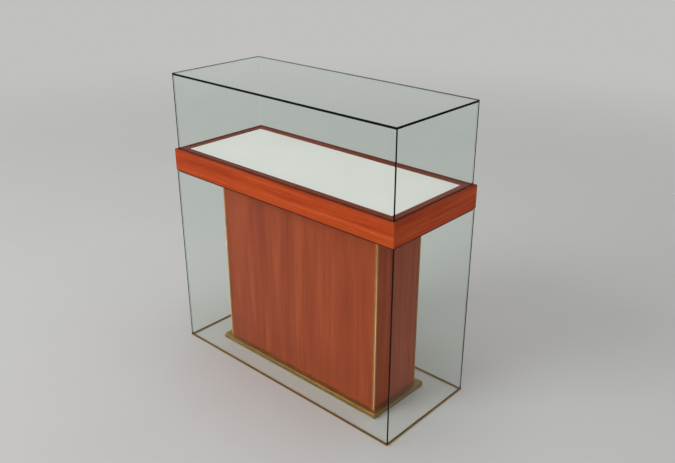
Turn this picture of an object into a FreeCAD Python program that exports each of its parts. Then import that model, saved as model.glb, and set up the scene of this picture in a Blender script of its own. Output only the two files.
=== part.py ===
import FreeCAD, Part
import math
import os
import re

import Sketcher

# Glazed display podium: a lift-off glass bonnet on a mitred hardwood tray, which is bolted to a
# slim veneered pedestal, with a glass skirt from the tray down to the floor.
# Millimetres. The origin is on the floor under the centre; +X runs along the long side to the
# right, -Y is the front and +Z is up.

SIZES = {
    # tray
    "tray_length": "1200",
    "tray_depth": "500",
    "tray_top": "925",
    "fascia_height": "95",
    "rail_top_width": "46",
    "rail_ledge_width": "12",
    "rail_rounding": "1.5",
    "spline_thickness": "4",
    "spline_length": "24",
    "spline_height": "50",
    "deck_thickness": "18",
    "deck_clearance": "0.5",
    "bearer_width": "38",
    "bearer_spread": "185",
    # display board
    "board_thickness": "12",
    "board_recess": "1",
    "board_clearance": "1",
    "board_arris": "0.8",
    # bonnet and the rubber channel that it stands in
    "bonnet_inset": "11",
    "bonnet_rise": "325",
    "bonnet_glass": "6",
    "bonnet_top_glass": "8",
    "bonnet_groove_depth": "10",
    "glass_arris": "0.5",
    "seal_wall": "1.2",
    "seal_clearance": "0.3",
    "seal_lip": "0.8",
    # skirt, its seal under the fascia and its brass foot
    "skirt_glass": "6",
    "skirt_lap": "6",
    "skirt_seal_web": "2",
    "channel_wall": "1.2",
    "channel_height": "5",
    "bedding_wall": "0.8",
    # pedestal
    "pedestal_end_setback": "165",
    "pedestal_front_setback": "119.5",
    "panel_thickness": "18",
    "top_panel_thickness": "18",
    "batten_width": "25",
    "corner_leg": "10",
    "corner_thickness": "1.5",
    "corner_rounding": "1.2",
    # plinth
    "plinth_projection": "26",
    "plinth_sheet": "1.5",
    "plinth_rounding": "1.2",
    "base_board_thickness": "18",
    "pad_thickness": "2.5",
    "pad_diameter": "40",
    "pad_edge_distance": "45",
    # bolts from the tray into the pedestal
    "bolt_end_distance": "87",
    "bolt_side_distance": "42.5",
    "bolt_diameter": "8",
    "bolt_flats": "13",
    "bolt_head_height": "5.3",
    "bolt_projection": "5",
    "bolt_hole_clearance": "1",
    "washer_diameter": "20",
    "washer_thickness": "2",
    "tee_flange_diameter": "22",
    "tee_flange_thickness": "1.5",
    "tee_barrel_diameter": "11",
    "tee_barrel_length": "12",
    "tee_clearance": "0.2",
    # screws from the base board into the battens
    "screw_diameter": "5",
    "screw_head_diameter": "10",
    "screw_length": "55",
    "screw_hole_clearance": "0.4",
    # how far a cutting outline reaches past the piece that it cuts
    "overrun": "5",
}

DERIVED = {
    # tray
    "rail_width": "rail_top_width + rail_ledge_width",
    "rail_height": "fascia_height + skirt_lap + skirt_seal_web",
    "tray_base": "tray_top - rail_height",
    "opening_length": "tray_length - 2 * rail_top_width",
    "opening_depth": "tray_depth - 2 * rail_top_width",
    "ledge_height": "rail_height - board_recess - board_thickness",
    "spline_base": "(rail_height - spline_height) / 2",
    "spline_reach": "spline_length / 2 / sqrt(2)",
    "spline_half": "spline_thickness / 2 / sqrt(2)",
    "deck_top": "tray_base + deck_thickness",
    "bearer_length": "tray_depth - 2 * rail_width",
    # bonnet
    "bonnet_length": "tray_length - 2 * bonnet_inset",
    "bonnet_depth": "tray_depth - 2 * bonnet_inset",
    "bonnet_seal_width": "bonnet_glass + 2 * seal_clearance + 2 * seal_wall",
    "bonnet_seal_inset": "bonnet_inset - seal_clearance - seal_wall",
    "bonnet_foot": "tray_top - bonnet_groove_depth + seal_wall",
    "bonnet_wall_height": "tray_top + bonnet_rise - bonnet_top_glass - bonnet_foot",
    # skirt
    "skirt_setback": "channel_wall + bedding_wall",
    "skirt_length": "tray_length - 2 * skirt_setback",
    "skirt_depth": "tray_depth - 2 * skirt_setback",
    "skirt_foot": "channel_wall + bedding_wall",
    "skirt_height": "tray_base + skirt_lap - skirt_foot",
    "skirt_rebate_width": "skirt_setback + skirt_glass + seal_wall",
    "skirt_rebate_height": "skirt_lap + skirt_seal_web",
    "bedding_width": "skirt_glass + 2 * bedding_wall",
    "channel_width": "bedding_width + 2 * channel_wall",
    # pedestal
    "pedestal_length": "tray_length - 2 * pedestal_end_setback",
    "pedestal_depth": "tray_depth - 2 * pedestal_front_setback",
    "carcass_base": "pad_thickness + base_board_thickness",
    "carcass_height": "tray_base - carcass_base",
    "inner_length": "pedestal_length - 2 * panel_thickness",
    "inner_depth": "pedestal_depth - 2 * panel_thickness",
    "batten_height": "carcass_height - top_panel_thickness",
    "plinth_top": "carcass_base + plinth_sheet",
    "plinth_length": "pedestal_length + 2 * plinth_projection",
    "plinth_depth": "pedestal_depth + 2 * plinth_projection",
    "base_board_length": "plinth_length - 2 * plinth_sheet",
    "base_board_depth": "plinth_depth - 2 * plinth_sheet",
    # fasteners
    "bolt_hole_diameter": "bolt_diameter + bolt_hole_clearance",
    "bolt_head_base": "deck_top + washer_thickness",
    "bolt_grip": "washer_thickness + deck_thickness + top_panel_thickness + tee_flange_thickness",
    "tee_bore_diameter": "bolt_diameter + tee_clearance",
    "top_panel_base": "tray_base - top_panel_thickness",
    "screw_hole_diameter": "screw_diameter + screw_hole_clearance",
    "screw_head_height": "(screw_head_diameter - screw_diameter) / 2",
    "screw_reach": "screw_length - base_board_thickness",
}

SIDES = ("front", "right", "back", "left")
CORNERS = ("front_left", "front_right", "back_right", "back_left")
CORNER_SIGNS = ((-1, -1), (1, -1), (1, 1), (-1, 1))
COUNTERSINK_TAPER = -45
SAME_PLACE = 1e-6
BOLT_SPOTS = [(f"{column} * (inner_length / 2 - bolt_end_distance)",
               f"{row} * (inner_depth / 2 - bolt_side_distance)")
              for column in (-1, 0, 1) for row in (-1, 1)]
SCREW_SPOTS = [(f"{x} * (inner_length - batten_width) / 2", f"{y} * (inner_depth - batten_width) / 2")
               for x, y in CORNER_SIGNS]
PAD_SPOTS = [(f"{column} * (base_board_length / 2 - pad_edge_distance)",
              f"{row} * (base_board_depth / 2 - pad_edge_distance)")
             for column in (-1, 0, 1) for row in (-1, 1)]

doc = FreeCAD.newDocument("display_podium")
nodes = []


def fill_sheet():
    """Write every driving dimension into its own cell, with its name as the cell's alias."""
    sheet = doc.addObject("Spreadsheet::Sheet", "Sizes")
    for row, (alias, value) in enumerate(SIZES.items(), start=1):
        sheet.set(f"A{row}", alias)
        sheet.set(f"B{row}", value)
        sheet.setAlias(f"B{row}", alias)
    doc.recompute()


def formula(text):
    """The text with each size's name turned into its cell and each derived name worked out."""
    def reference(match):
        word = match.group(0)
        if word in DERIVED:
            return f"({formula(DERIVED[word])})"
        return f"Sizes.{word}" if word in SIZES else word
    return re.sub(r"[a-z_]+", reference, text)


def bind(thing, path, text):
    thing.setExpression(path, formula(text))


def new_body(label):
    body = doc.addObject("PartDesign::Body", label)
    body.Label = label
    nodes.append(body)
    return body


def new_sketch(body, name, role="XY_Plane", lift="0"):
    """An empty sketch on one of the body's own origin planes, raised by lift."""
    sketch = body.newObject("Sketcher::SketchObject", f"{body.Label}_{name}")
    plane = next(feature for feature in body.Origin.OriginFeatures if feature.Role == role)
    sketch.AttachmentSupport = [(plane, "")]
    sketch.MapMode = "FlatFace"
    bind(sketch, "AttachmentOffset.Base.z", lift)
    return sketch


def pin(sketch, geometry, point, spot):
    """Hold a point of the sketch at the spot, a pair of formulas measured from the origin."""
    for kind, text in zip(("DistanceX", "DistanceY"), spot):
        index = sketch.addConstraint(Sketcher.Constraint(kind, -1, 1, geometry, point, 1.0))
        bind(sketch, f"Constraints[{index}]", text)


def draw_outline(sketch, spots):
    """A closed outline of straight lines through the spots, drawn on a unit circle first."""
    turn = 2 * math.pi / len(spots)
    corners = [FreeCAD.Vector(math.cos(turn * step), math.sin(turn * step), 0) for step in range(len(spots))]
    lines = [sketch.addGeometry(Part.LineSegment(start, end))
             for start, end in zip(corners, corners[1:] + corners[:1])]
    for line, following in zip(lines, lines[1:] + lines[:1]):
        sketch.addConstraint(Sketcher.Constraint("Coincident", line, 2, following, 1))
    for line, spot in zip(lines, spots):
        pin(sketch, line, 1, spot)


def draw_rectangle(sketch, left, right, low, high):
    draw_outline(sketch, [(left, low), (right, low), (right, high), (left, high)])


def draw_circles(sketch, spots, diameter):
    for spot in spots:
        circle = sketch.addGeometry(Part.Circle())
        pin(sketch, circle, 3, spot)
        index = sketch.addConstraint(Sketcher.Constraint("Diameter", circle, 1.0))
        bind(sketch, f"Constraints[{index}]", diameter)


def pad(body, sketch, length, downwards=False):
    feature = body.newObject("PartDesign::Pad", f"{sketch.Name}_pad")
    feature.Profile = sketch
    feature.Reversed = downwards
    bind(feature, "Length", length)
    doc.recompute()
    return feature


def checked_cut(body, feature):
    """Recompute a cut and make sure that it took material away."""
    before = feature.BaseFeature.Shape.Volume
    doc.recompute()
    if feature.Shape.Volume >= before:
        raise RuntimeError(f"{body.Label}: {feature.Name} cuts nothing")
    return feature


def cut_through(body, sketch):
    """Cut the sketch's outline out of the whole body, on both sides of the sketch."""
    feature = body.newObject("PartDesign::Pocket", f"{sketch.Name}_cut")
    feature.Profile = sketch
    feature.SideType = "Two sides"
    feature.Type = "ThroughAll"
    feature.Type2 = "ThroughAll"
    return checked_cut(body, feature)


def cut_upwards(body, sketch, length):
    feature = body.newObject("PartDesign::Pocket", f"{sketch.Name}_cut")
    feature.Profile = sketch
    feature.Reversed = True
    bind(feature, "Length", length)
    return checked_cut(body, feature)


def ease_all_edges(body, base, size):
    feature = body.newObject("PartDesign::Chamfer", f"{body.Label}_arris")
    feature.Base = (base, [])
    feature.UseAllEdges = True
    bind(feature, "Size", size)
    doc.recompute()


def round_edges(body, base, chosen, radius):
    """Round the edges that the test picks out by their two end points."""
    names = [f"Edge{number}" for number, edge in enumerate(base.Shape.Edges, start=1)
             if chosen(*(vertex.Point for vertex in edge.Vertexes))]
    feature = body.newObject("PartDesign::Fillet", f"{body.Label}_rounding")
    feature.Base = (base, names)
    bind(feature, "Radius", radius)
    doc.recompute()


def put_at_corner(body, index, length, depth, base):
    """Stand a piece in a corner of a rectangle, turned so that its own X runs along the next side."""
    x_sign, y_sign = CORNER_SIGNS[index]
    upright = FreeCAD.Vector(0, 0, 1)
    body.Placement = FreeCAD.Placement(FreeCAD.Vector(), FreeCAD.Rotation(upright, 90 * index))
    bind(body, "Placement.Base.x", f"{x_sign} * ({length}) / 2")
    bind(body, "Placement.Base.y", f"{y_sign} * ({depth}) / 2")
    bind(body, "Placement.Base.z", base)


def mitred_bar(label, index, length, depth, base, width, height, cuts=()):
    """One side of a mitred frame. Each cut is a rectangle of its section: near, far, low and high,
    measured inwards from the outer face and upwards from the underside."""
    body = new_body(label)
    run = (length, depth)[index % 2]
    plan = new_sketch(body, "plan")
    draw_outline(plan, [("0", "0"), (run, "0"), (f"{run} - ({width})", width), (width, width)])
    feature = pad(body, plan, height)
    for number, cut in enumerate(cuts, start=1):
        section = new_sketch(body, f"section_{number}", "YZ_Plane")
        draw_rectangle(section, *cut)
        feature = cut_through(body, section)
    put_at_corner(body, index, length, depth, base)
    return body, feature


def walls(prefix, length, depth, base, height, thickness, arris=None):
    """Four upright sheets round a rectangle; the front and back ones cover the ends of the others."""
    for index, side in enumerate(SIDES):
        body = new_body(f"{prefix}_{side}")
        between = index % 2 == 1
        clear_depth = f"{depth} - 2 * {thickness}"
        plan = new_sketch(body, "plan")
        draw_rectangle(plan, "0", clear_depth if between else length, "0", thickness)
        feature = pad(body, plan, height)
        if arris:
            ease_all_edges(body, feature, arris)
        put_at_corner(body, index, length, clear_depth if between else depth, base)


def slab(label, length, depth, thickness, base, x="0"):
    """A level board, centred on x and on the podium's middle plane."""
    body = new_body(label)
    plan = new_sketch(body, "plan")
    draw_rectangle(plan, f"-({length}) / 2", f"({length}) / 2", f"-({depth}) / 2", f"({depth}) / 2")
    feature = pad(body, plan, thickness)
    bind(body, "Placement.Base.x", x)
    bind(body, "Placement.Base.z", base)
    return body, feature


def drill(body, spots, diameter):
    holes = new_sketch(body, "holes")
    draw_circles(holes, spots, diameter)
    return cut_through(body, holes)


def tray_rails():
    """Hardwood rails with a groove for the bonnet, ledges for board and deck, and a skirt rebate."""
    groove = ("bonnet_seal_inset", "bonnet_seal_inset + bonnet_seal_width",
              "rail_height - bonnet_groove_depth", "rail_height + overrun")
    board_ledge = ("rail_top_width", "rail_width + overrun", "ledge_height", "rail_height + overrun")
    deck_ledge = ("rail_top_width", "rail_width + overrun", "-overrun", "deck_thickness")
    skirt_rebate = ("-overrun", "skirt_rebate_width", "-overrun", "skirt_rebate_height")
    cuts = (groove, board_ledge, deck_ledge, skirt_rebate)
    for index, side in enumerate(SIDES):
        body, _ = mitred_bar(f"tray_rail_{side}", index, "tray_length", "tray_depth", "tray_base",
                             "rail_width", "rail_height", cuts)
        run = ("tray_length", "tray_depth")[index % 2]
        slots = new_sketch(body, "slots", lift="spline_base")
        middle = "rail_width / 2"
        for start, sign in (("0", ""), (run, "-")):
            draw_outline(slots, [(f"{start} + {sign}({middle} + {x})", f"{middle} + {y}")
                                 for x, y in spline_corners()])
        feature = cut_upwards(body, slots, "spline_height")
        round_edges(body, feature, is_long_outer_edge, "rail_rounding")


def spline_corners():
    """Plan of a spline from the middle of its mitre: long across the mitre and thin along it."""
    return [("spline_reach + spline_half", "-spline_reach + spline_half"),
            ("spline_reach - spline_half", "-spline_reach - spline_half"),
            ("-spline_reach - spline_half", "spline_reach - spline_half"),
            ("-spline_reach + spline_half", "spline_reach + spline_half")]


def is_long_outer_edge(start, end):
    """True for the two edges of a bar's outer face that run along the bar."""
    on_face = max(abs(start.y), abs(end.y)) < SAME_PLACE
    return on_face and abs(start.x - end.x) > abs(start.z - end.z)


def mitre_splines():
    """A hidden loose tongue across each mitre of the tray."""
    body = new_body("mitre_splines")
    plan = new_sketch(body, "plan")
    for x_sign, y_sign in CORNER_SIGNS:
        centre_x = f"{x_sign} * (tray_length - rail_width) / 2"
        centre_y = f"{y_sign} * (tray_depth - rail_width) / 2"
        draw_outline(plan, [(f"{centre_x} - {x_sign} * ({x})", f"{centre_y} - {y_sign} * ({y})")
                            for x, y in spline_corners()])
    pad(body, plan, "spline_height")
    bind(body, "Placement.Base.z", "tray_base + spline_base")


def tray_floor():
    """The plywood deck in the rails' lower ledges, and the bearers on it that carry the board."""
    deck, _ = slab("tray_deck", "opening_length - 2 * deck_clearance",
                   "opening_depth - 2 * deck_clearance", "deck_thickness", "tray_base")
    drill(deck, BOLT_SPOTS, "bolt_hole_diameter")
    for side, sign in (("left", "-"), ("right", "")):
        slab(f"cross_bearer_{side}", "bearer_width", "bearer_length", "ledge_height - deck_thickness",
             "deck_top", x=f"{sign}bearer_spread")


def display_board():
    board, feature = slab("display_board", "opening_length - 2 * board_clearance",
                          "opening_depth - 2 * board_clearance", "board_thickness",
                          "tray_base + ledge_height")
    ease_all_edges(board, feature, "board_arris")


def bonnet():
    """Five bonded panes; the top one lies on the four uprights."""
    walls("bonnet_pane", "bonnet_length", "bonnet_depth", "bonnet_foot", "bonnet_wall_height",
          "bonnet_glass", "glass_arris")
    top, feature = slab("bonnet_pane_top", "bonnet_length", "bonnet_depth", "bonnet_top_glass",
                        "bonnet_foot + bonnet_wall_height")
    ease_all_edges(top, feature, "glass_arris")


def bonnet_seals():
    """Rubber channel in the tray's groove, with lips that show as a thin line round the glass."""
    height = "bonnet_groove_depth + seal_lip"
    slot = ("seal_wall", "bonnet_seal_width - seal_wall", "seal_wall", f"{height} + overrun")
    for index, side in enumerate(SIDES):
        mitred_bar(f"bonnet_seal_{side}", index, "tray_length - 2 * bonnet_seal_inset",
                   "tray_depth - 2 * bonnet_seal_inset", "tray_top - bonnet_groove_depth",
                   "bonnet_seal_width", height, (slot,))


def skirt():
    """Four panes between a rubber strip under the fascia and a bedded brass channel on the floor."""
    walls("skirt_pane", "skirt_length", "skirt_depth", "skirt_foot", "skirt_height", "skirt_glass",
          "glass_arris")
    seat = ("-overrun", "skirt_glass", "-overrun", "skirt_lap")
    bed = ("bedding_wall", "bedding_width - bedding_wall", "bedding_wall", "channel_height + overrun")
    trough = ("channel_wall", "channel_width - channel_wall", "channel_wall", "channel_height + overrun")
    for index, side in enumerate(SIDES):
        mitred_bar(f"skirt_seal_{side}", index, "skirt_length", "skirt_depth", "tray_base",
                   "skirt_glass + seal_wall", "skirt_rebate_height", (seat,))
        mitred_bar(f"skirt_bedding_{side}", index, "tray_length - 2 * channel_wall",
                   "tray_depth - 2 * channel_wall", "channel_wall", "bedding_width",
                   "channel_height - channel_wall", (bed,))
        mitred_bar(f"skirt_channel_{side}", index, "tray_length", "tray_depth", "0", "channel_width",
                   "channel_height", (trough,))


def pedestal():
    """A veneered box: four panels, battens in its corners and a top panel that the tray bolts to."""
    walls("pedestal_panel", "pedestal_length", "pedestal_depth", "carcass_base", "carcass_height",
          "panel_thickness")
    top, _ = slab("pedestal_top_panel", "inner_length", "inner_depth", "top_panel_thickness",
                  "top_panel_base")
    drill(top, BOLT_SPOTS, "tee_barrel_diameter + tee_clearance")
    for index, corner in enumerate(CORNERS):
        batten = new_body(f"pedestal_batten_{corner}")
        plan = new_sketch(batten, "plan")
        draw_rectangle(plan, "0", "batten_width", "0", "batten_width")
        pad(batten, plan, "batten_height")
        pilot = new_sketch(batten, "pilot")
        draw_circles(pilot, [("batten_width / 2", "batten_width / 2")], "screw_hole_diameter")
        cut_upwards(batten, pilot, "screw_reach")
        put_at_corner(batten, index, "inner_length", "inner_depth", "carcass_base")


def brass_corners():
    """Angles over the pedestal's upright edges, from the plinth to the tray."""
    for index, corner in enumerate(CORNERS):
        angle = new_body(f"brass_corner_{corner}")
        plan = new_sketch(angle, "plan")
        draw_outline(plan, [("0", "0"), ("corner_leg", "0"), ("corner_leg", "corner_thickness"),
                            ("corner_thickness", "corner_thickness"), ("corner_thickness", "corner_leg"),
                            ("0", "corner_leg")])
        feature = pad(angle, plan, "tray_base - plinth_top")
        round_edges(angle, feature, is_outer_corner_edge, "corner_rounding")
        put_at_corner(angle, index, "pedestal_length + 2 * corner_thickness",
                      "pedestal_depth + 2 * corner_thickness", "plinth_top")


def is_outer_corner_edge(start, end):
    """True for the upright edge on the piece's own Z axis."""
    return max(abs(start.x), abs(end.x), abs(start.y), abs(end.y)) < SAME_PLACE


def plinth():
    """The base board under the pedestal, its brass trims and the rubber pads that it stands on."""
    board, _ = slab("base_board", "base_board_length", "base_board_depth", "base_board_thickness",
                    "pad_thickness")
    drill(board, SCREW_SPOTS, "screw_hole_diameter")
    sink = new_sketch(board, "countersinks")
    draw_circles(sink, SCREW_SPOTS, "screw_head_diameter + screw_hole_clearance")
    cone = cut_upwards(board, sink, "screw_head_height")
    cone.TaperAngle = COUNTERSINK_TAPER
    checked_cut(board, cone)
    hollow = ("plinth_sheet", "plinth_projection + overrun", "-overrun", "base_board_thickness")
    for index, side in enumerate(SIDES):
        trim, feature = mitred_bar(f"plinth_trim_{side}", index, "plinth_length", "plinth_depth",
                                   "pad_thickness", "plinth_projection",
                                   "base_board_thickness + plinth_sheet", (hollow,))
        round_edges(trim, feature, is_upper_outer_edge, "plinth_rounding")
    pads = new_body("floor_pads")
    plan = new_sketch(pads, "plan")
    draw_circles(plan, PAD_SPOTS, "pad_diameter")
    pad(pads, plan, "pad_thickness")


def is_upper_outer_edge(start, end):
    """True for the edge that runs along a bar at the top of its outer face."""
    return is_long_outer_edge(start, end) and start.z > 0


def hexagon(spot, flats):
    """Corners of a bolt head round the spot, from its size across flats."""
    x, y = spot
    reach = f"{flats} / sqrt(3)"
    return [(f"{x} + {reach}", y), (f"{x} + {reach} / 2", f"{y} + {flats} / 2"),
            (f"{x} - {reach} / 2", f"{y} + {flats} / 2"), (f"{x} - {reach}", y),
            (f"{x} - {reach} / 2", f"{y} - {flats} / 2"), (f"{x} + {reach} / 2", f"{y} - {flats} / 2")]


def tray_bolts():
    """Bolts through deck and top panel, with washers under their heads and tee nuts below."""
    bolts = new_body("tray_bolts")
    heads = new_sketch(bolts, "heads")
    for spot in BOLT_SPOTS:
        draw_outline(heads, hexagon(spot, "bolt_flats"))
    pad(bolts, heads, "bolt_head_height")
    shanks = new_sketch(bolts, "shanks")
    draw_circles(shanks, BOLT_SPOTS, "bolt_diameter")
    pad(bolts, shanks, "bolt_grip + bolt_projection", downwards=True)
    bind(bolts, "Placement.Base.z", "bolt_head_base")

    washers = new_body("tray_washers")
    rings = new_sketch(washers, "rings")
    draw_circles(rings, BOLT_SPOTS, "washer_diameter")
    draw_circles(rings, BOLT_SPOTS, "bolt_hole_diameter")
    pad(washers, rings, "washer_thickness")
    bind(washers, "Placement.Base.z", "deck_top")

    nuts = new_body("tray_tee_nuts")
    flanges = new_sketch(nuts, "flanges")
    draw_circles(flanges, BOLT_SPOTS, "tee_flange_diameter")
    pad(nuts, flanges, "tee_flange_thickness", downwards=True)
    barrels = new_sketch(nuts, "barrels")
    draw_circles(barrels, BOLT_SPOTS, "tee_barrel_diameter")
    pad(nuts, barrels, "tee_barrel_length")
    drill(nuts, BOLT_SPOTS, "tee_bore_diameter")
    bind(nuts, "Placement.Base.z", "top_panel_base")


def base_screws():
    """Countersunk screws from under the base board into the battens."""
    screws = new_body("base_screws")
    shanks = new_sketch(screws, "shanks")
    draw_circles(shanks, SCREW_SPOTS, "screw_diameter")
    pad(screws, shanks, "screw_length")
    heads = new_sketch(screws, "heads")
    draw_circles(heads, SCREW_SPOTS, "screw_head_diameter")
    cone = pad(screws, heads, "screw_head_height")
    cone.TaperAngle = COUNTERSINK_TAPER
    doc.recompute()
    bind(screws, "Placement.Base.z", "pad_thickness")


def check_document():
    """Stop before anything is written if an object failed or a sub-part has no sound shape."""
    doc.recompute()
    for thing in doc.Objects:
        if "Invalid" in thing.State or "Error" in thing.State:
            raise RuntimeError(f"{thing.Label} failed: {thing.State}")
    for node in nodes:
        if node.Shape.isNull() or not node.Shape.isValid():
            raise RuntimeError(f"{node.Label} has no valid shape")


def write_parts():
    os.makedirs("parts", exist_ok=True)
    for node in nodes:
        node.Shape.exportStep(f"parts/{node.Label}.step")


fill_sheet()
tray_rails()
mitre_splines()
tray_floor()
display_board()
bonnet()
bonnet_seals()
skirt()
pedestal()
brass_corners()
plinth()
tray_bolts()
base_screws()
check_document()
write_parts()
print(f"{len(nodes)} sub-parts")
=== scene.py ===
import math

import bmesh
import bpy
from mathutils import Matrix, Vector


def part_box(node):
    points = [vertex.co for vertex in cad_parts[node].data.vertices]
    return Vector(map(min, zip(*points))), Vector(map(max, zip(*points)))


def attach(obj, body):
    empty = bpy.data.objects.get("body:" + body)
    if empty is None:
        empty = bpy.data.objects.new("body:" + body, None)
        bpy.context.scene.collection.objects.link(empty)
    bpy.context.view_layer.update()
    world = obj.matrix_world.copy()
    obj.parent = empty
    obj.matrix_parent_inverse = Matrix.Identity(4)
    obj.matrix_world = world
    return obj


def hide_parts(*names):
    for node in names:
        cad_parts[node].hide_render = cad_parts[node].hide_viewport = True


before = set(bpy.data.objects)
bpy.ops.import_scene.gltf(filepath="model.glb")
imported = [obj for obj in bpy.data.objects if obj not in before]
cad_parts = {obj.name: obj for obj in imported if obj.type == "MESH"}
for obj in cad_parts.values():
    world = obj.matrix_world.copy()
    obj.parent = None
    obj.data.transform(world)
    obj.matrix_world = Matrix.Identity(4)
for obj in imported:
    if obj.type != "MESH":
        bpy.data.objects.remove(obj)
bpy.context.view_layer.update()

# Lengths are in metres, angles in degrees and lamp powers in watts. Colours are linear.

X, Y, Z = 0, 1, 2
AXIS_NAMES = "xyz"
# The four sides, each with the axis that its pieces run along.
SIDES = {"front": X, "back": X, "left": Y, "right": Y}
CORNERS = ("front_left", "front_right", "back_right", "back_left")

# The camera stands where the photograph was taken from. Its lens and sensor are in millimetres.
CAMERA_PLACE = (2.0357, -2.0991, 1.9337)
CAMERA_TURN = (66.022, 0.0, 42.448)
CAMERA_LENS = 40.846
CAMERA_SENSOR = 36.0
CAMERA_REACH = 200.0

# The floor takes on the backdrop's tone between the two distances of FLOOR_FADE from the object.
FLOOR_REACH = 45.0
FLOOR_DROP = 0.0003
FLOOR_FADE = (2.2, 7.0)
FLOOR_TONES = [(0.592, 0.592, 0.582), (0.608, 0.608, 0.598)]
BACKDROP = (0.53, 0.53, 0.52)
SKY = (1.0, 1.0, 1.0)
SKY_STRENGTH = 0.5
SOFT_BOXES = {
    "key": {"place": (-3.5, -7.4, 4.8), "aim": (0.0, 0.0, 0.7), "side": 4.4, "power": 415.0},
    "overhead": {"place": (0.0, 0.4, 6.5), "aim": (0.0, 0.0, 0.9), "side": 4.0, "power": 75.0},
}

# Glass panes have rounded arrises, and leave room for the bond where one is glued to another.
ARRIS = 0.0005
ARRIS_STEPS = 2
BOND = 0.0002
# A pane's face looks straight towards an end of an axis where its normal lies more than STRAIGHT
# that way, and at least a little towards it where its normal lies more than A_LITTLE that way.
STRAIGHT = 0.999
A_LITTLE = 0.01

# Noise keeps mostly within this range, over which tones and roughness are spread.
NOISE_RANGE = (0.3, 0.7)
# Where a Mix node has the share, the two colours and the result of a mix of colours.
MIX_SHARE, MIX_FIRST, MIX_SECOND, MIX_RESULT = 0, 6, 7, 2

# Wood grain in layers, from broad bands to single fibres: waves to the metre along the grain and
# across it, noise detail and noise roughness. Each layer has a share of the tone.
GRAIN_LAYERS = {
    "bands": (0.9, 24.0, 2.0, 0.5),
    "streaks": (2.6, 75.0, 4.0, 0.6),
    "lines": (5.0, 250.0, 3.0, 0.6),
    "fibres": (14.0, 620.0, 2.0, 0.6),
}
GRAIN_SHARES = {"bands": 0.37, "streaks": 0.40, "lines": 0.15, "fibres": 0.08}
# Where a wood's four tones stand in the range of its figure.
TONE_STOPS = (0.38, 0.465, 0.54, 0.63)
STREAK_RANGE = (0.25, 0.75)
WOOD_ROUGHNESS = (0.46, 0.33)
FIBRE_RELIEF = 0.4
# Pores are noise as in a grain layer, cut to PORE_RANGE. They take PORE_SHADE of the darkest tone.
PORES = (55.0, 1300.0, 1.0, 0.5)
PORE_RANGE = (0.60, 0.72)
PORE_COVER = 0.35
PORE_SHADE = 0.35
# The grain wanders sideways by up to SWAY, in waves to the metre along the grain and across it.
SWAY = 0.022
SWAY_WAVES = (1.7, 5.0)
# A face counts as looking up more and more between these heights of its normal.
UPWARD = (0.70, 0.97)

# Brass is brushed in scratches, with waves to the metre along them and across.
SCRATCH_WAVES = (6.0, 1800.0)
BRASS_RANGE = (0.35, 0.65)
# Where a brass's three tones stand in the range of its tarnish.
BRASS_STOPS = (0.32, 0.50, 0.68)
TONED_GLOSS = (0.58, 0.44)
CORNER_GLOSS = (0.68, 0.58)
# An upright brass arris carries a painted highlight: a bright line whose edge lies between the two reach
# distances from the arris. The shares of it belong to the two heights, and it is strongest near the foot.
PAINTED_HIGHLIGHT_REACH = (0.0015, 0.0035)
PAINTED_HIGHLIGHT_HEIGHTS = (0.45, 0.70)
PAINTED_HIGHLIGHT_SHARES = (1.0, 0.25)
# The colour of the painted highlight line on the brass arris.
PAINTED_HIGHLIGHT_TONE = (1.00, 0.70, 0.41)
# How far out along X and Y the arrises of the pedestal's brass angles lie.
BRASS_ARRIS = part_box("brass_corner_back_right")[1][:Z]

# Faint wipe marks on the glass, in waves to the metre along X, Y and Z.
WIPE_WAVES = (3.0, 3.0, 7.0)
WIPE_RANGE = (0.35, 0.65)

# Tones run from dark to light.
TRAY_TONES = [
    (0.340, 0.036, 0.007),
    (0.440, 0.054, 0.010),
    (0.525, 0.075, 0.014),
    (0.630, 0.112, 0.029),
]
TRAY_TOP_TONES = [
    (0.110, 0.019, 0.007),
    (0.152, 0.024, 0.009),
    (0.184, 0.029, 0.011),
    (0.225, 0.039, 0.015),
]
PEDESTAL_TONES = [
    (0.298, 0.052, 0.018),
    (0.353, 0.063, 0.021),
    (0.405, 0.075, 0.025),
    (0.468, 0.097, 0.034),
]
TIMBER_TONES = [
    (0.33, 0.19, 0.09),
    (0.43, 0.27, 0.14),
    (0.50, 0.33, 0.18),
    (0.57, 0.40, 0.24),
]
TONED_BRASS = [
    (0.280, 0.165, 0.038),
    (0.390, 0.243, 0.064),
    (0.500, 0.330, 0.105),
]
CORNER_BRASS = [
    (0.395, 0.180, 0.046),
    (0.500, 0.232, 0.068),
    (0.600, 0.298, 0.102),
]
GLASS_TONES = [(0.925, 0.964, 0.938), (0.945, 0.976, 0.955)]
GLASS_REFLECTION = (0.05, 0.05, 0.05)
GLASS_PASS = (0.974, 0.988, 0.979)
EDGE_TONES = [(0.0008, 0.002, 0.001), (0.003, 0.007, 0.004)]
BOARD_TONES = [(0.785, 0.770, 0.735), (0.830, 0.815, 0.785)]
RUBBER_TONES = [(0.120, 0.020, 0.006), (0.190, 0.033, 0.011)]
BEDDING_TONES = [(0.200, 0.125, 0.050), (0.290, 0.190, 0.085)]
PLYWOOD_TONES = [(0.36, 0.23, 0.12), (0.58, 0.43, 0.27)]
ZINC_TONES = [(0.42, 0.43, 0.44), (0.62, 0.63, 0.63)]


def opaque(colour):
    return (*colour, 1.0)


def even(waves):
    """The same number of waves to the metre along X, Y and Z."""
    return (waves, waves, waves)


def along(axis, lengthwise, across):
    """Waves to the metre along a grain axis and across it."""
    return tuple(lengthwise if i == axis else across for i in (X, Y, Z))


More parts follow.
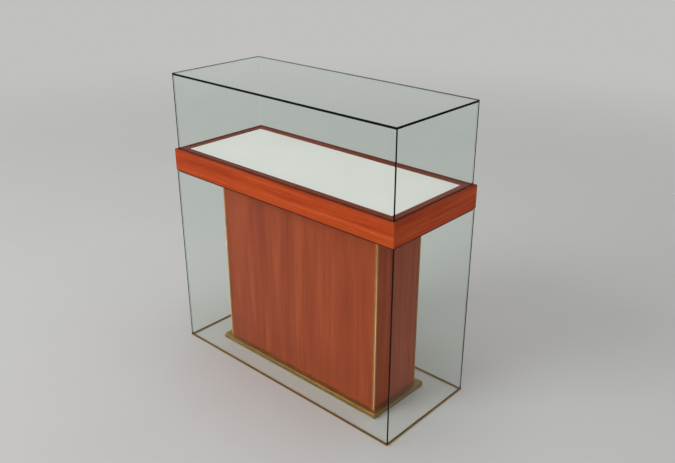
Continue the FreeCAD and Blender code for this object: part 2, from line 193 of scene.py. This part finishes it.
class Nodes:
    """A node tree that starts empty, with a few short ways to add to it."""

    def __init__(self, tree):
        self.tree = tree
        self.tree.nodes.clear()

    def add(self, kind, inputs=None, **settings):
        made = self.tree.nodes.new(kind)
        for name, value in settings.items():
            setattr(made, name, value)
        self.feed(made, inputs or {})
        return made

    def feed(self, node, inputs):
        """Gives a node's inputs, by name or number, plain values or other nodes' outputs."""
        for key, value in inputs.items():
            if isinstance(value, bpy.types.NodeSocket):
                self.tree.links.new(value, node.inputs[key])
            else:
                node.inputs[key].default_value = value

    def math(self, operation, *values):
        return self.add("ShaderNodeMath", dict(enumerate(values)), operation=operation).outputs[0]

    def choose(self, share, first, second):
        """The first shader where share is 0 and the second where it is 1."""
        return self.add("ShaderNodeMixShader", {0: share, 1: first, 2: second}).outputs[0]

    def looked_at(self):
        """1 for a ray that the eye sends out, also by way of a mirror or through glass, and 0 for light."""
        ray = self.add("ShaderNodeLightPath").outputs
        mirrored = self.math("MAXIMUM", ray["Is Camera Ray"], ray["Is Glossy Ray"])
        return self.math("MAXIMUM", mirrored, ray["Is Transmission Ray"])


class Shader(Nodes):
    """A material's nodes round one Principled shader."""

    def __init__(self, name):
        self.material = bpy.data.materials.new(name)
        self.material.use_nodes = True
        super().__init__(self.material.node_tree)
        self.output = self.add("ShaderNodeOutputMaterial")
        self.principled = self.add("ShaderNodeBsdfPrincipled")
        self.surface = self.principled.outputs[0]
        self.spot = self.add("ShaderNodeTexCoord").outputs["Object"]
        self.show(self.surface)

    def show(self, shader):
        self.feed(self.output, {"Surface": shader})

    def finish(self, inputs):
        """Gives the Principled shader its inputs and returns the material."""
        self.feed(self.principled, inputs)
        return self.material

    def noise(self, waves, detail, roughness, distortion=0.0, spot=None):
        """Noise from 0 to 1, at a point on the piece or at another spot."""
        stretched = self.add("ShaderNodeMapping", {"Vector": spot or self.spot, "Scale": waves})
        made = self.add("ShaderNodeTexNoise", {
            "Vector": stretched.outputs[0],
            "Scale": 1.0,
            "Detail": detail,
            "Roughness": roughness,
            "Distortion": distortion,
        })
        return made.outputs[0]

    def weigh(self, first, *others):
        """The sum of some values, each given with its share."""
        total = self.math("MULTIPLY", *first)
        for other in others:
            total = self.math("ADD", total, self.math("MULTIPLY", *other))
        return total

    def spread(self, value, source, target=(0.0, 1.0)):
        """A value within the range of source, eased into that of target."""
        made = self.add("ShaderNodeMapRange", {
            "Value": value,
            "From Min": source[0],
            "From Max": source[1],
            "To Min": target[0],
            "To Max": target[1],
        }, interpolation_type="SMOOTHSTEP")
        return made.outputs[0]

    def ramp(self, value, tones, stops=NOISE_RANGE):
        """The tone that belongs to a value, where the tones stand at the stops."""
        made = self.add("ShaderNodeValToRGB", {"Fac": value})
        elements = made.color_ramp.elements
        while len(elements) < len(stops):
            elements.new(1.0)
        for element, stop, tone in zip(elements, stops, tones):
            element.position = stop
            element.color = opaque(tone)
        return made.outputs[0]

    def mix(self, share, first, second):
        """The first colour where share is 0 and the second where it is 1."""
        inputs = {MIX_SHARE: share, MIX_FIRST: first, MIX_SECOND: second}
        return self.add("ShaderNodeMix", inputs, data_type="RGBA").outputs[MIX_RESULT]

    def parts(self, vector):
        """A vector's parts, by the names X, Y and Z."""
        return self.add("ShaderNodeSeparateXYZ", {0: vector}).outputs

    def bump(self, height, distance, strength):
        inputs = {"Height": height, "Distance": distance, "Strength": strength}
        return self.add("ShaderNodeBump", inputs).outputs[0]


def wood(name, grain, tones, top_tones=None, width=1.0):
    """Lacquered straight-grained wood with a figure of a given width.
    With top_tones, faces that look up carry a darker stain."""
    shader = Shader(name)
    sway = shader.noise(along(grain, *SWAY_WAVES), detail=2.0, roughness=0.5)
    move = {0: sway, 1: along(grain, 0.0, SWAY), 2: shader.spot}
    swayed = shader.add("ShaderNodeVectorMath", move, operation="MULTIPLY_ADD").outputs[0]

    def grained(lengthwise, across, detail, roughness):
        return shader.noise(along(grain, lengthwise, across / width), detail, roughness, spot=swayed)

    layers = {kind: grained(*facts) for kind, facts in GRAIN_LAYERS.items()}
    figure = shader.weigh(*((layers[kind], share) for kind, share in GRAIN_SHARES.items()))
    pores = shader.spread(grained(*PORES), PORE_RANGE)
    colour = shader.ramp(figure, tones, TONE_STOPS)
    if top_tones:
        normal = shader.add("ShaderNodeNewGeometry").outputs["Normal"]
        upward = shader.spread(shader.parts(normal)["Z"], UPWARD)
        colour = shader.mix(upward, colour, shader.ramp(figure, top_tones, TONE_STOPS))
    pore_colour = opaque(PORE_SHADE * channel for channel in tones[0])
    relief = shader.math("SUBTRACT", shader.math("MULTIPLY", layers["fibres"], FIBRE_RELIEF), pores)
    return shader.finish({
        "Base Color": shader.mix(shader.math("MULTIPLY", pores, PORE_COVER), colour, pore_colour),
        "Roughness": shader.spread(layers["streaks"], STREAK_RANGE, WOOD_ROUGHNESS),
        "Specular IOR Level": 0.06,
        "Coat Weight": 0.02,
        "Coat Roughness": 0.2,
        "Normal": shader.bump(relief, distance=0.00015, strength=0.5),
    })


def brass(name, brushed, tones, gloss, arris=None):
    """Satin brass, brushed along its length, with a thin uneven tarnish.
    With arris, how far out along X and Y an upright edge lies, that edge carries a painted highlight."""
    shader = Shader(name)
    scratches = shader.noise(along(brushed, *SCRATCH_WAVES), detail=3.0, roughness=0.7)
    clouds = shader.noise(even(9.0), detail=4.0, roughness=0.6)
    tarnish = shader.weigh((clouds, 0.6), (scratches, 0.4))
    colour = shader.ramp(tarnish, tones, BRASS_STOPS)
    if arris:
        # A painted highlight along the upright arris, strongest near the foot.
        parts = shader.parts(shader.spot)
        highlight_share = shader.spread(parts["Z"], PAINTED_HIGHLIGHT_HEIGHTS, PAINTED_HIGHLIGHT_SHARES)
        for part, edge in zip(("X", "Y"), arris):
            inward = shader.math("SUBTRACT", edge, shader.math("ABSOLUTE", parts[part]))
            highlight_share = shader.math("MULTIPLY", highlight_share, shader.spread(inward, PAINTED_HIGHLIGHT_REACH, (1.0, 0.0)))
        colour = shader.mix(highlight_share, colour, opaque(PAINTED_HIGHLIGHT_TONE))
    return shader.finish({
        "Base Color": colour,
        "Roughness": shader.spread(tarnish, BRASS_RANGE, gloss),
        "Metallic": 1.0,
        "Normal": shader.bump(scratches, distance=0.00003, strength=0.5),
    })


def clear_glass():
    """Museum glass with a coat that holds reflections down.
    Lamps and bounced light pass it straight, so that it casts no hard shadow."""
    shader = Shader("clear_glass")
    wipes = shader.noise(WIPE_WAVES, detail=4.0, roughness=0.6, distortion=0.8)
    passed = shader.add("ShaderNodeBsdfTransparent", {"Color": opaque(GLASS_PASS)}).outputs[0]
    ray = shader.add("ShaderNodeLightPath").outputs
    light = shader.math("MAXIMUM", ray["Is Shadow Ray"], ray["Is Diffuse Ray"])
    shader.show(shader.choose(light, shader.surface, passed))
    return shader.finish({
        "Base Color": shader.ramp(wipes, GLASS_TONES, WIPE_RANGE),
        "Roughness": 0.0,
        "Transmission Weight": 1.0,
        "IOR": 1.2,
        "Specular Tint": opaque(GLASS_REFLECTION),
    })


def glass_edge():
    """The cut edge of a pane, where the glass is looked through lengthwise and goes bottle green to black."""
    shader = Shader("glass_edge")
    depth = shader.noise(even(14.0), detail=3.0, roughness=0.6)
    return shader.finish({
        "Base Color": shader.ramp(depth, EDGE_TONES),
        "Roughness": shader.spread(depth, NOISE_RANGE, (0.10, 0.24)),
        "Specular IOR Level": 0.05,
    })


def white_board():
    """Matt white paint with a faint roller stipple."""
    shader = Shader("white_board")
    stipple = shader.noise(even(900.0), detail=2.0, roughness=0.6)
    clouds = shader.noise(even(5.0), detail=3.0, roughness=0.5)
    return shader.finish({
        "Base Color": shader.ramp(shader.weigh((clouds, 0.7), (stipple, 0.3)), BOARD_TONES),
        "Roughness": shader.spread(stipple, NOISE_RANGE, (0.50, 0.62)),
        "Normal": shader.bump(stipple, distance=0.00012, strength=0.4),
    })


def rubber(name, waves, tones):
    """Matt rubber with a fine grain."""
    shader = Shader(name)
    grains = shader.noise(even(waves), detail=2.0, roughness=0.6)
    return shader.finish({
        "Base Color": shader.ramp(grains, tones),
        "Roughness": shader.spread(grains, NOISE_RANGE, (0.55, 0.75)),
        "Specular IOR Level": 0.1,
        "Normal": shader.bump(grains, distance=0.00008, strength=0.4),
    })


def plywood():
    """Birch plywood: pale face veneer with thin layers on its cut edges."""
    shader = Shader("plywood")
    face = shader.noise(along(X, 2.0, 60.0), detail=4.0, roughness=0.6)
    layers = shader.noise(along(Z, 420.0, 4.0), detail=1.0, roughness=0.5)
    return shader.finish({
        "Base Color": shader.ramp(shader.weigh((face, 0.7), (layers, 0.3)), PLYWOOD_TONES),
        "Roughness": shader.spread(face, NOISE_RANGE, (0.66, 0.52)),
        "Normal": shader.bump(face, distance=0.0001, strength=0.4),
    })


def zinc():
    """Zinc-plated steel with a fine spangle."""
    shader = Shader("zinc_steel")
    spangle = shader.noise(even(160.0), detail=4.0, roughness=0.7)
    return shader.finish({
        "Base Color": shader.ramp(spangle, ZINC_TONES),
        "Roughness": shader.spread(spangle, NOISE_RANGE, (0.48, 0.32)),
        "Metallic": 1.0,
        "Normal": shader.bump(spangle, distance=0.00004, strength=0.4),
    })


TRAY_WOOD = {axis: wood(f"tray_wood_{AXIS_NAMES[axis]}", axis, TRAY_TONES, TRAY_TOP_TONES) for axis in (X, Y)}
VENEER = wood("pedestal_veneer", Z, PEDESTAL_TONES, width=1.6)
TIMBER = {axis: wood(f"timber_{AXIS_NAMES[axis]}", axis, TIMBER_TONES) for axis in (X, Y, Z)}
BRASS = {axis: brass(f"toned_brass_{AXIS_NAMES[axis]}", axis, TONED_BRASS, TONED_GLOSS) for axis in (X, Y)}
# The corner angles' brass, with a painted highlight along each outer arris.
HIGHLIT_CORNER_MATERIAL = brass("corner_brass_painted_highlight", Z, CORNER_BRASS, CORNER_GLOSS, BRASS_ARRIS)
CLEAR = clear_glass()
EDGE = glass_edge()
BOARD = white_board()
RUBBER = rubber("dark_rubber", 1500.0, RUBBER_TONES)
# The skirt's bedding is rubber toned like the brass that it lies in.
BEDDING = rubber("toned_rubber", 700.0, BEDDING_TONES)
PLYWOOD = plywood()
ZINC = zinc()


def dress(node, material):
    """Gives a CAD node its finish."""
    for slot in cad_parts[node].material_slots:
        slot.material = material


for side, axis in SIDES.items():
    dress(f"tray_rail_{side}", TRAY_WOOD[axis])
    dress(f"pedestal_panel_{side}", VENEER)
    dress(f"plinth_trim_{side}", BRASS[axis])
    dress(f"skirt_channel_{side}", BRASS[axis])
    dress(f"bonnet_seal_{side}", RUBBER)
    dress(f"skirt_seal_{side}", RUBBER)
    dress(f"skirt_bedding_{side}", BEDDING)
for corner in CORNERS:
    dress(f"brass_corner_{corner}", HIGHLIT_CORNER_MATERIAL)
    dress(f"pedestal_batten_{corner}", TIMBER[Z])
for side in ("left", "right"):
    dress(f"cross_bearer_{side}", TIMBER[Y])
dress("mitre_splines", TIMBER[X])
for sheet in ("pedestal_top_panel", "tray_deck", "base_board"):
    dress(sheet, PLYWOOD)
dress("display_board", BOARD)
dress("floor_pads", RUBBER)
for fastener in ("tray_bolts", "tray_washers", "tray_tee_nuts", "base_screws"):
    dress(fastener, ZINC)


def put(name, data):
    """A new object in the scene."""
    made = bpy.data.objects.new(name, data)
    bpy.context.scene.collection.objects.link(made)
    return made


def pane(node, body, butted=(), capped=()):
    """A glass pane with rounded arrises in place of its CAD node.
    Its broad faces are clear, and so are its butted edges, which are glued to the face of another pane,
    and their outer arrises, which the bond fills. Its other edges and arrises are dark, also at its
    capped edges, which are glued under the top pane.
    An edge is (axis, end), where end is 0 for the low side and 1 for the high side."""
    low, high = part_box(node)
    for axis, end in (*butted, *capped):
        if end:
            high[axis] -= BOND
        else:
            low[axis] += BOND
    thin = min((X, Y, Z), key=lambda i: high[i] - low[i])
    outside = int(low[thin] + high[thin] > 0)

    def lean(face, axis, end):
        """How far a face's normal lies towards one end of an axis, from -1 to 1."""
        return face.normal[axis] if end else -face.normal[axis]

    def is_clear(face):
        broad = abs(face.normal[thin]) > STRAIGHT
        glued = any(lean(face, *edge) > STRAIGHT for edge in butted)
        beside = any(lean(face, *edge) > A_LITTLE for edge in butted)
        return broad or glued or beside and lean(face, thin, outside) > A_LITTLE

    shape = bmesh.new()
    bmesh.ops.create_cube(shape, size=1.0)
    for vertex in shape.verts:
        for i in (X, Y, Z):
            vertex.co[i] = high[i] if vertex.co[i] > 0 else low[i]
    bmesh.ops.bevel(
        shape, geom=shape.edges[:], offset=ARRIS, segments=ARRIS_STEPS, profile=0.5, affect="EDGES"
    )
    shape.normal_update()
    finishes = (CLEAR, EDGE)
    for face in shape.faces:
        face.material_index = finishes.index(CLEAR if is_clear(face) else EDGE)
    mesh = bpy.data.meshes.new(f"{node}_glass")
    shape.to_mesh(mesh)
    shape.free()
    for finish in finishes:
        mesh.materials.append(finish)
    piece = put(f"{node}_glass", mesh)
    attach(piece, body)
    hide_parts(node)


for side, axis in SIDES.items():
    ends = [(Y, 0), (Y, 1)] if axis == Y else []
    pane(f"bonnet_pane_{side}", "bonnet", butted=ends, capped=[(Z, 1)])
    pane(f"skirt_pane_{side}", "stand", butted=ends)
pane("bonnet_pane_top", "bonnet")


def stage_floor():
    """A plain pale floor that goes over into the backdrop far from the object."""
    shader = Shader("studio_floor")
    mottle = shader.noise(even(1.3), detail=4.0, roughness=0.6)
    distance = shader.add("ShaderNodeVectorMath", {0: shader.spot}, operation="LENGTH").outputs["Value"]
    far = shader.math("MULTIPLY", shader.spread(distance, FLOOR_FADE), shader.looked_at())
    backdrop = shader.add("ShaderNodeEmission", {"Color": opaque(BACKDROP)}).outputs[0]
    shader.show(shader.choose(far, shader.surface, backdrop))
    material = shader.finish({
        "Base Color": shader.ramp(mottle, FLOOR_TONES),
        "Roughness": 0.9,
        "Specular IOR Level": 0.1,
    })
    low, high = -FLOOR_REACH, FLOOR_REACH
    outline = [(low, low, 0.0), (high, low, 0.0), (high, high, 0.0), (low, high, 0.0)]
    mesh = bpy.data.meshes.new("studio_floor")
    mesh.from_pydata(outline, [], [range(len(outline))])
    mesh.materials.append(material)
    floor = put("studio_floor", mesh)
    floor.location.z = -FLOOR_DROP


def soft_box(name, place, aim, side, power):
    """A square lamp that looks at the point aim."""
    lamp = bpy.data.lights.new(name, "AREA")
    lamp.shape = "SQUARE"
    lamp.size = side
    lamp.energy = power
    box = put(name, lamp)
    box.location = place
    box.rotation_euler = (Vector(aim) - Vector(place)).to_track_quat("-Z", "Y").to_euler()


def studio_sky():
    """Even light from all round, and a pale backdrop of the floor's own tone where it is looked at."""
    world = bpy.data.worlds.new("studio_sky")
    world.use_nodes = True
    nodes = Nodes(world.node_tree)
    light = nodes.add("ShaderNodeBackground", {"Color": opaque(SKY), "Strength": SKY_STRENGTH}).outputs[0]
    backdrop = nodes.add("ShaderNodeBackground", {"Color": opaque(BACKDROP)}).outputs[0]
    nodes.add("ShaderNodeOutputWorld", {"Surface": nodes.choose(nodes.looked_at(), light, backdrop)})
    bpy.context.scene.world = world


def photo_camera():
    lens = bpy.data.cameras.new("photo_camera")
    lens.sensor_fit = "HORIZONTAL"
    lens.sensor_width = CAMERA_SENSOR
    lens.lens = CAMERA_LENS
    lens.clip_end = CAMERA_REACH
    camera = put("photo_camera", lens)
    camera.location = CAMERA_PLACE
    camera.rotation_euler = [math.radians(angle) for angle in CAMERA_TURN]
    bpy.context.scene.camera = camera


stage_floor()
for name, facts in SOFT_BOXES.items():
    soft_box(name, **facts)
studio_sky()
photo_camera()
bpy.context.scene.view_settings.view_transform = "Standard"
